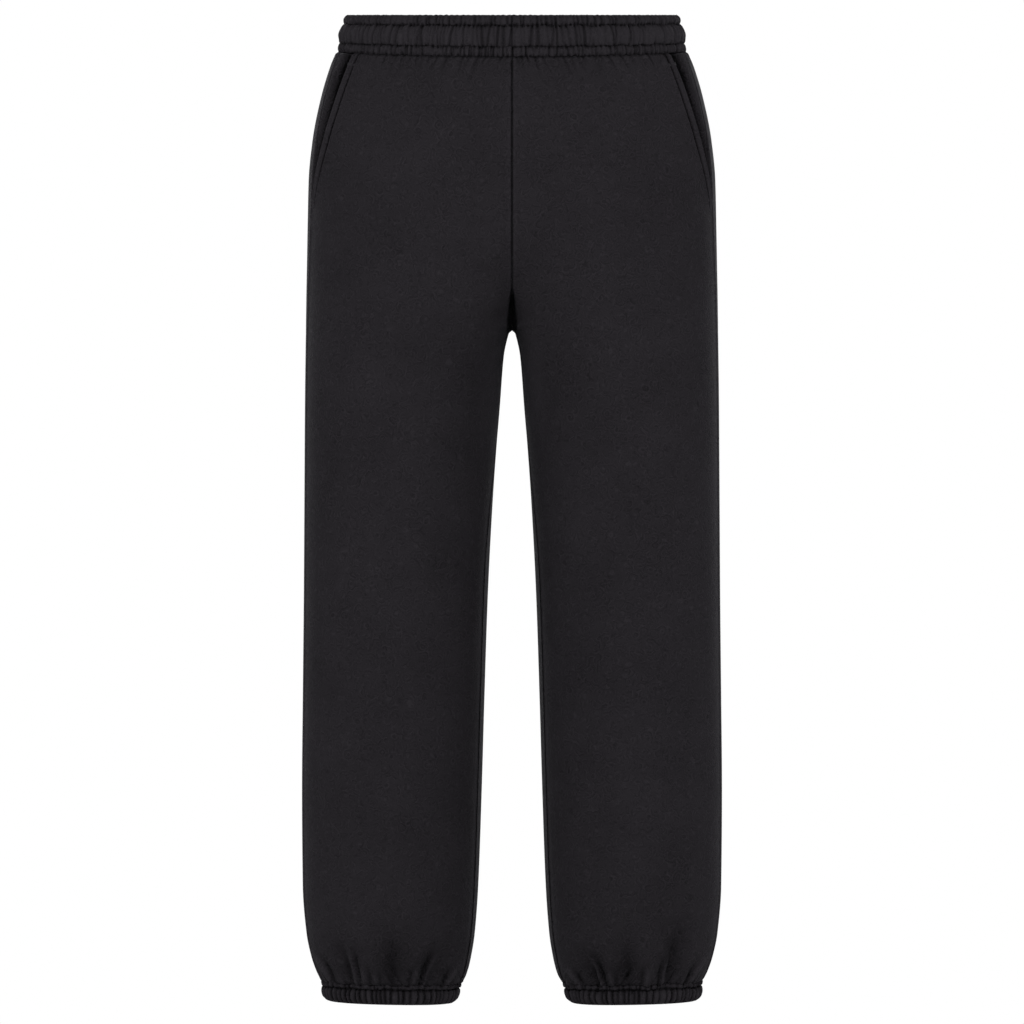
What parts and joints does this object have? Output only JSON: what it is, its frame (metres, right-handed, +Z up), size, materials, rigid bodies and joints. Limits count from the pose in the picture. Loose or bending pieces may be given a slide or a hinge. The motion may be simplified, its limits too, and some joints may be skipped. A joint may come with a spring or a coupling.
{
  "type": "jogger sweatpants",
  "caption": "Pull-on sweatpants in heavy brushed fleece, hollow and filled out as if worn, with an elastic waistband, slant pockets and elastic cuffs.",
  "frame": {"origin": "middle of the waistband, level with half its height at the sides, where the wearer holds it up", "axes": "+Z up, +X towards the wearer's left, and the front of the trousers faces -Y"},
  "size_m": [0.4314, 0.2675, 1.0256],
  "materials": {
    "waistband": "matt brushed cotton fleece, washed black",
    "front_left": "matt brushed cotton fleece, washed black",
    "front_right": "matt brushed cotton fleece, washed black",
    "back_left": "matt brushed cotton fleece, washed black",
    "back_right": "matt brushed cotton fleece, washed black",
    "pocket_facing_left": "matt brushed cotton fleece, washed black",
    "pocket_facing_right": "matt brushed cotton fleece, washed black",
    "cuff_left": "matt brushed cotton fleece, washed black",
    "cuff_right": "matt brushed cotton fleece, washed black"
  },
  "bodies": {
    "root": {"waistband": "waistband", "front_left": "front_left", "front_right": "front_right", "back_left": "back_left", "back_right": "back_right", "pocket_facing_left": "pocket_facing_left", "pocket_facing_right": "pocket_facing_right", "cuff_left": "cuff_left", "cuff_right": "cuff_right"}
  },
  "joints": []
}
